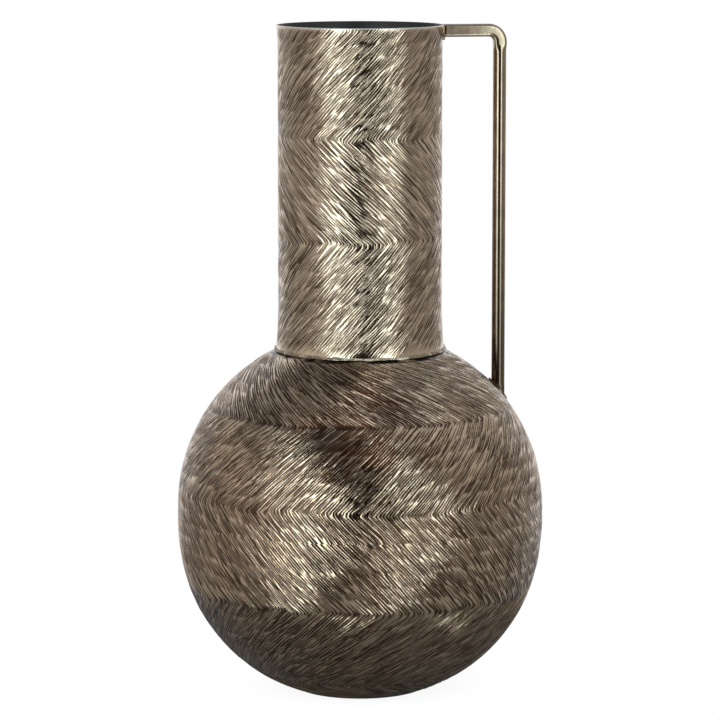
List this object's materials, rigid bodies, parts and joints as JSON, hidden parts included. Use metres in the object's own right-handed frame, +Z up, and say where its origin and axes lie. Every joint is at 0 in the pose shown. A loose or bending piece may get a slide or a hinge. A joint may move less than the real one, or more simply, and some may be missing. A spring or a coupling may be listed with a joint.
{
  "type": "urn vase",
  "caption": "Sheet-metal urn vase with a spherical belly, a tall straight neck and one squared bar handle; chased herringbone surface in antique bronze tone.",
  "frame": {"origin": "on the vase's axis, on the plane that it stands on", "axes": "+Z up along the vase's axis, +X from the axis towards the handle"},
  "size_m": [0.22, 0.22, 0.4],
  "materials": {
    "chased_metal": "antique bronze tone, chased all over in herringbone bands, polished peaks and darkened cuts",
    "handle_metal": "antique bronze tone, polished smooth",
    "weld_metal": "uneven weld bead, darkened with the rest",
    "felt": "dark brown wool felt"
  },
  "bodies": {
    "root": {"neck_tube": "chased_metal", "upper_bowl": "chased_metal", "lower_bowl": "chased_metal", "belly_weld": "weld_metal", "neck_weld": "weld_metal", "handle_bar": "handle_metal", "handle_top_weld": "weld_metal", "handle_foot_weld": "weld_metal", "felt_pads": "felt"}
  },
  "joints": []
}
